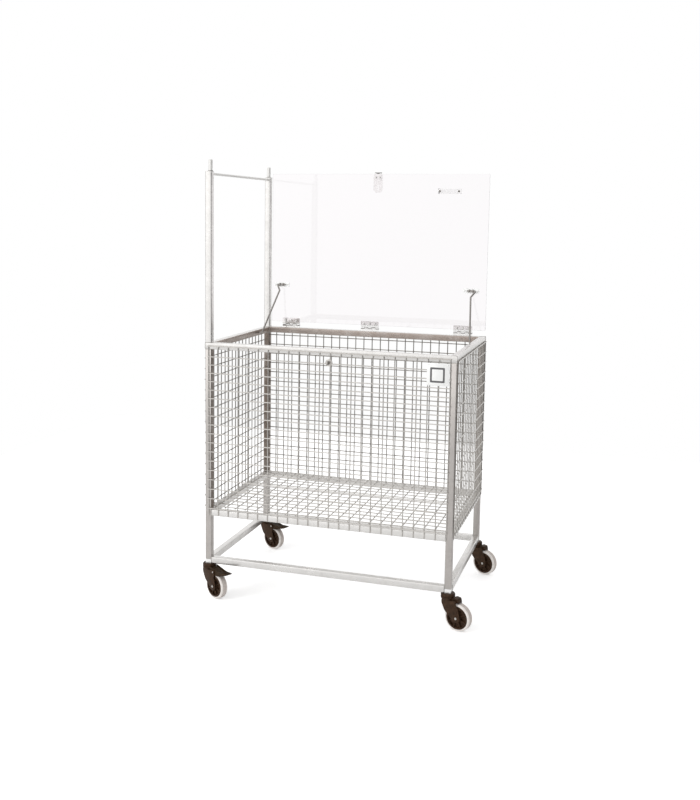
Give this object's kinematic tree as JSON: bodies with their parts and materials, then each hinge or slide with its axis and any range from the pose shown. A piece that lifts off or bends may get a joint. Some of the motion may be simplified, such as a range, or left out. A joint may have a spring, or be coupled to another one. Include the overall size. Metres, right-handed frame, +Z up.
{
  "type": "storage trolley",
  "caption": "Wheeled storage trolley: square tube frame, wire mesh basket, clear lid on hinges with two stays, a hasp and a handle, two uprights and swivel casters.",
  "frame": {"origin": "on the floor, under the middle of the trolley's box with the lid open", "axes": "+Z up, -Y to the front (the side with the name plate), +X to its right"},
  "size_m": [1.0502, 0.717, 1.665],
  "materials": {
    "galvanised_tube": "satin galvanised square tube",
    "zinc_wire": "bright zinc plated round wire",
    "zinc_steel": "zinc plated steel fittings",
    "aluminium_plate": "plain bare plate, no print",
    "clear_sheet": "clear glossy 5 mm plastic sheet",
    "black_plastic": "black moulding",
    "grey_tyre": "pale grey rubber tread on a black wheel disc",
    "white_plastic": "white moulding",
    "dull_steel_rod": "dull bent rod"
  },
  "bodies": {
    "frame": {"basket_rail_front": "galvanised_tube", "basket_rail_left": "galvanised_tube", "basket_rail_rear": "galvanised_tube", "basket_rail_right": "galvanised_tube", "caster_front_left_stem": "zinc_steel", "caster_front_right_stem": "zinc_steel", "caster_rear_left_stem": "zinc_steel", "caster_rear_right_stem": "zinc_steel", "hinge_left_fixed_leaf": "zinc_steel", "hinge_left_pin": "zinc_steel", "hinge_middle_fixed_leaf": "zinc_steel", "hinge_middle_pin": "zinc_steel", "hinge_right_fixed_leaf": "zinc_steel", "hinge_right_pin": "zinc_steel", "lock_base": "zinc_steel", "mesh_floor": "zinc_wire", "mesh_front": "zinc_wire", "mesh_left": "zinc_wire", "mesh_rear": "zinc_wire", "mesh_right": "zinc_wire", "name_plate": "aluminium_plate", "post_front_left": "galvanised_tube", "post_front_right": "galvanised_tube", "post_rear_left": "galvanised_tube", "post_rear_right": "galvanised_tube", "ring_rail_front": "galvanised_tube", "ring_rail_left": "galvanised_tube", "ring_rail_rear": "galvanised_tube", "ring_rail_right": "galvanised_tube", "spigot_cap_front": "zinc_steel", "spigot_cap_rear": "zinc_steel", "stretcher_front": "galvanised_tube", "stretcher_left": "galvanised_tube", "stretcher_rear": "galvanised_tube", "stretcher_right": "galvanised_tube", "tie_rod": "zinc_steel", "upright_front": "galvanised_tube", "upright_rear": "galvanised_tube"},
    "lid": {"lid": "clear_sheet", "hinge_left_lid_leaf": "zinc_steel", "hinge_middle_lid_leaf": "zinc_steel", "hinge_right_lid_leaf": "zinc_steel", "lid_handle": "white_plastic", "hasp_leaf": "zinc_steel", "stay_saddle_left": "white_plastic", "stay_saddle_right": "white_plastic"},
    "hasp_strap": {"hasp_strap": "zinc_steel"},
    "stay_left": {"stay_left": "dull_steel_rod"},
    "stay_right": {"stay_right": "dull_steel_rod"},
    "lock_staple": {"lock_staple": "zinc_steel"},
    "caster_front_left_swivel": {"caster_front_left_fork": "black_plastic"},
    "caster_front_left_wheel": {"caster_front_left_wheel": "grey_tyre"},
    "caster_front_left_pedal": {"caster_front_left_brake_pedal": "black_plastic"},
    "caster_rear_left_swivel": {"caster_rear_left_fork": "black_plastic"},
    "caster_rear_left_wheel": {"caster_rear_left_wheel": "grey_tyre"},
    "caster_rear_left_pedal": {"caster_rear_left_brake_pedal": "black_plastic"},
    "caster_front_right_swivel": {"caster_front_right_fork": "black_plastic"},
    "caster_front_right_wheel": {"caster_front_right_wheel": "grey_tyre"},
    "caster_rear_right_swivel": {"caster_rear_right_fork": "black_plastic"},
    "caster_rear_right_wheel": {"caster_rear_right_wheel": "grey_tyre"}
  },
  "joints": [
    {"name": "lid_hinge", "type": "hinge", "parent": "frame", "child": "lid", "pos_m": [-0.03312, 0.33004, 0.996], "axis": [1, 0, 0], "range_deg": [0, 90]},
    {"name": "hasp_hinge", "type": "hinge", "parent": "lid", "child": "hasp_strap", "pos_m": [-0.01962, 0.33104, 1.6415], "axis": [1, 0, 0], "range_deg": [0, 270]},
    {"name": "stay_left_pivot", "type": "hinge", "parent": "lid", "child": "stay_left", "pos_m": [-0.43612, 0.31354, 1.168], "axis": [1, 0, 0], "range_deg": [-55, 0]},
    {"name": "stay_right_pivot", "type": "hinge", "parent": "lid", "child": "stay_right", "pos_m": [0.38188, 0.31354, 1.168], "axis": [1, 0, 0], "range_deg": [-55, 0]},
    {"name": "lock_staple_turn", "type": "hinge", "parent": "frame", "child": "lock_staple", "pos_m": [-0.01962, -0.30906, 0.937], "axis": [0, 1, 0], "range_deg": [0, 90]},
    {"name": "caster_front_left_swivel", "type": "hinge", "parent": "frame", "child": "caster_front_left_swivel", "pos_m": [-0.49912, -0.28896, 0.1185], "axis": [0, 0, 1], "continuous": true},
    {"name": "caster_front_left_roll", "type": "hinge", "parent": "caster_front_left_swivel", "child": "caster_front_left_wheel", "pos_m": [-0.45939, -0.31009, 0.04957], "axis": [0.4695, 0.8829, 0], "continuous": true},
    {"name": "caster_front_left_brake", "type": "hinge", "parent": "caster_front_left_swivel", "child": "caster_front_left_pedal", "pos_m": [-0.45763, -0.31102, 0.10707], "axis": [0.4695, 0.8829, 0], "range_deg": [0, 10]},
    {"name": "caster_rear_left_swivel", "type": "hinge", "parent": "frame", "child": "caster_rear_left_swivel", "pos_m": [-0.49912, 0.31404, 0.1185], "axis": [0, 0, 1], "continuous": true},
    {"name": "caster_rear_left_roll", "type": "hinge", "parent": "caster_rear_left_swivel", "child": "caster_rear_left_wheel", "pos_m": [-0.45726, 0.29755, 0.04957], "axis": [0.3665, 0.9304, 0], "continuous": true},
    {"name": "caster_rear_left_brake", "type": "hinge", "parent": "caster_rear_left_swivel", "child": "caster_rear_left_pedal", "pos_m": [-0.4554, 0.29681, 0.10707], "axis": [0.3665, 0.9304, 0], "range_deg": [0, 10]},
    {"name": "caster_front_right_swivel", "type": "hinge", "parent": "frame", "child": "caster_front_right_swivel", "pos_m": [0.43288, -0.28896, 0.1185], "axis": [0, 0, 1], "continuous": true},
    {"name": "caster_front_right_roll", "type": "hinge", "parent": "caster_front_right_swivel", "child": "caster_front_right_wheel", "pos_m": [0.47542, -0.30361, 0.04957], "axis": [0.3256, 0.9455, 0], "continuous": true},
    {"name": "caster_rear_right_swivel", "type": "hinge", "parent": "frame", "child": "caster_rear_right_swivel", "pos_m": [0.43288, 0.31404, 0.1185], "axis": [0, 0, 1], "continuous": true},
    {"name": "caster_rear_right_roll", "type": "hinge", "parent": "caster_rear_right_swivel", "child": "caster_rear_right_wheel", "pos_m": [0.47489, 0.29791, 0.04957], "axis": [0.3584, 0.9336, 0], "continuous": true}
  ],
  "couplings": [
    {"joint": "stay_left_pivot", "follows": "lid_hinge", "ratio": -0.6056},
    {"joint": "stay_right_pivot", "follows": "lid_hinge", "ratio": -0.6056}
  ]
}
